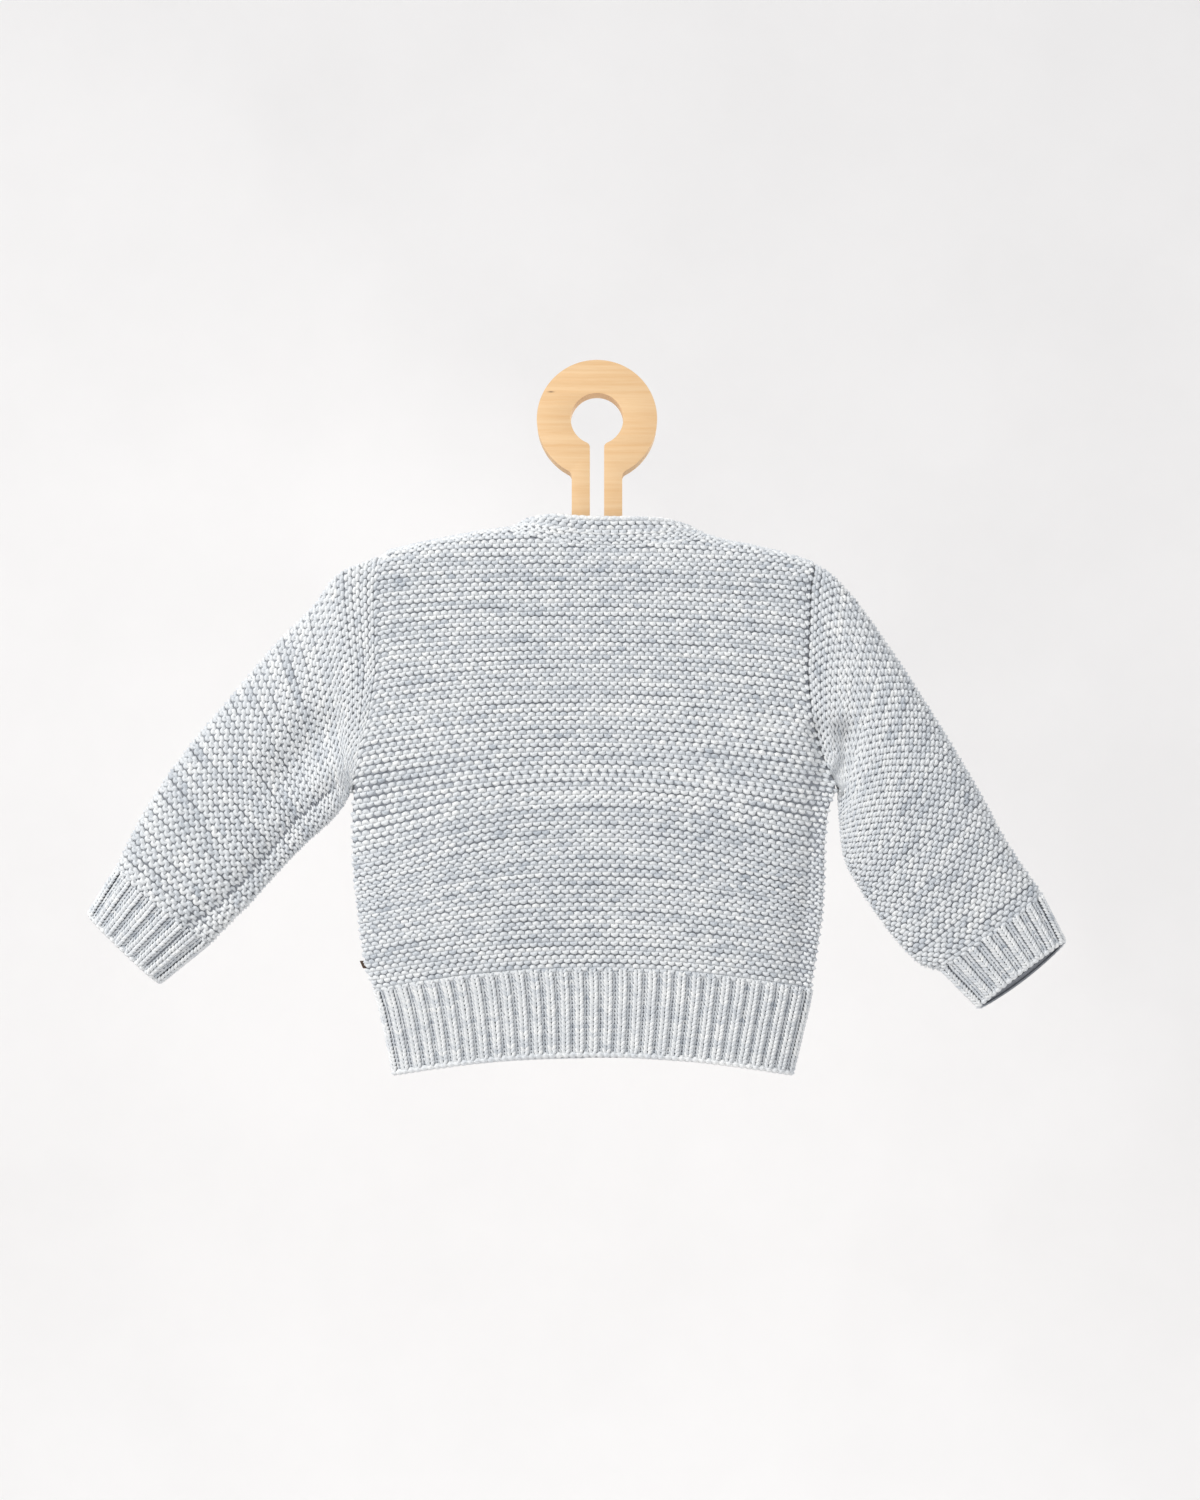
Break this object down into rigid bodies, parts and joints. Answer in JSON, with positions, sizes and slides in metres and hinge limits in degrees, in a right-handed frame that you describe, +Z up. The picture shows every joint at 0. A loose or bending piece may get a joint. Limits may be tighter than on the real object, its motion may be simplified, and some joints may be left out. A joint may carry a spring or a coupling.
{
  "type": "baby cardigan on a hanger",
  "caption": "Hand-knitted baby cardigan in garter stitch with ribbed hem and cuffs, buttoned at the front, hanging flat on a plywood hanger with a ring top.",
  "frame": {"origin": "seat of the nail: the top of the hole in the hanger's ring, halfway through the plywood", "axes": "+Z up, +X from the wearer's left sleeve towards the right sleeve, +Y from the garment's back towards its fronts"},
  "size_m": [0.5477, 0.0368, 0.4],
  "materials": {
    "body_knit": "light heather grey wool, garter stitch, soft and matt",
    "sleeve_knit": "light heather grey wool, garter stitch, soft and matt",
    "rib_knit": "light heather grey wool, one by one rib",
    "band_knit": "light heather grey wool, narrow garter bands",
    "button": "pale shell-like plastic, softly polished",
    "tape": "dark brown woven tape, bare",
    "plywood": "clear-oiled honey-blonde plywood with fine level grain"
  },
  "bodies": {
    "root": {"back_panel": "body_knit", "left_front": "body_knit", "right_front": "body_knit", "left_sleeve": "sleeve_knit", "right_sleeve": "sleeve_knit", "back_hem": "rib_knit", "left_front_hem": "rib_knit", "right_front_hem": "rib_knit", "left_cuff": "rib_knit", "right_cuff": "rib_knit", "neckband": "band_knit", "button_band": "band_knit", "buttonhole_band": "band_knit", "button_1": "button", "button_2": "button", "button_3": "button", "button_4": "button", "button_5": "button", "side_tab": "tape", "hanger": "plywood"}
  },
  "joints": []
}
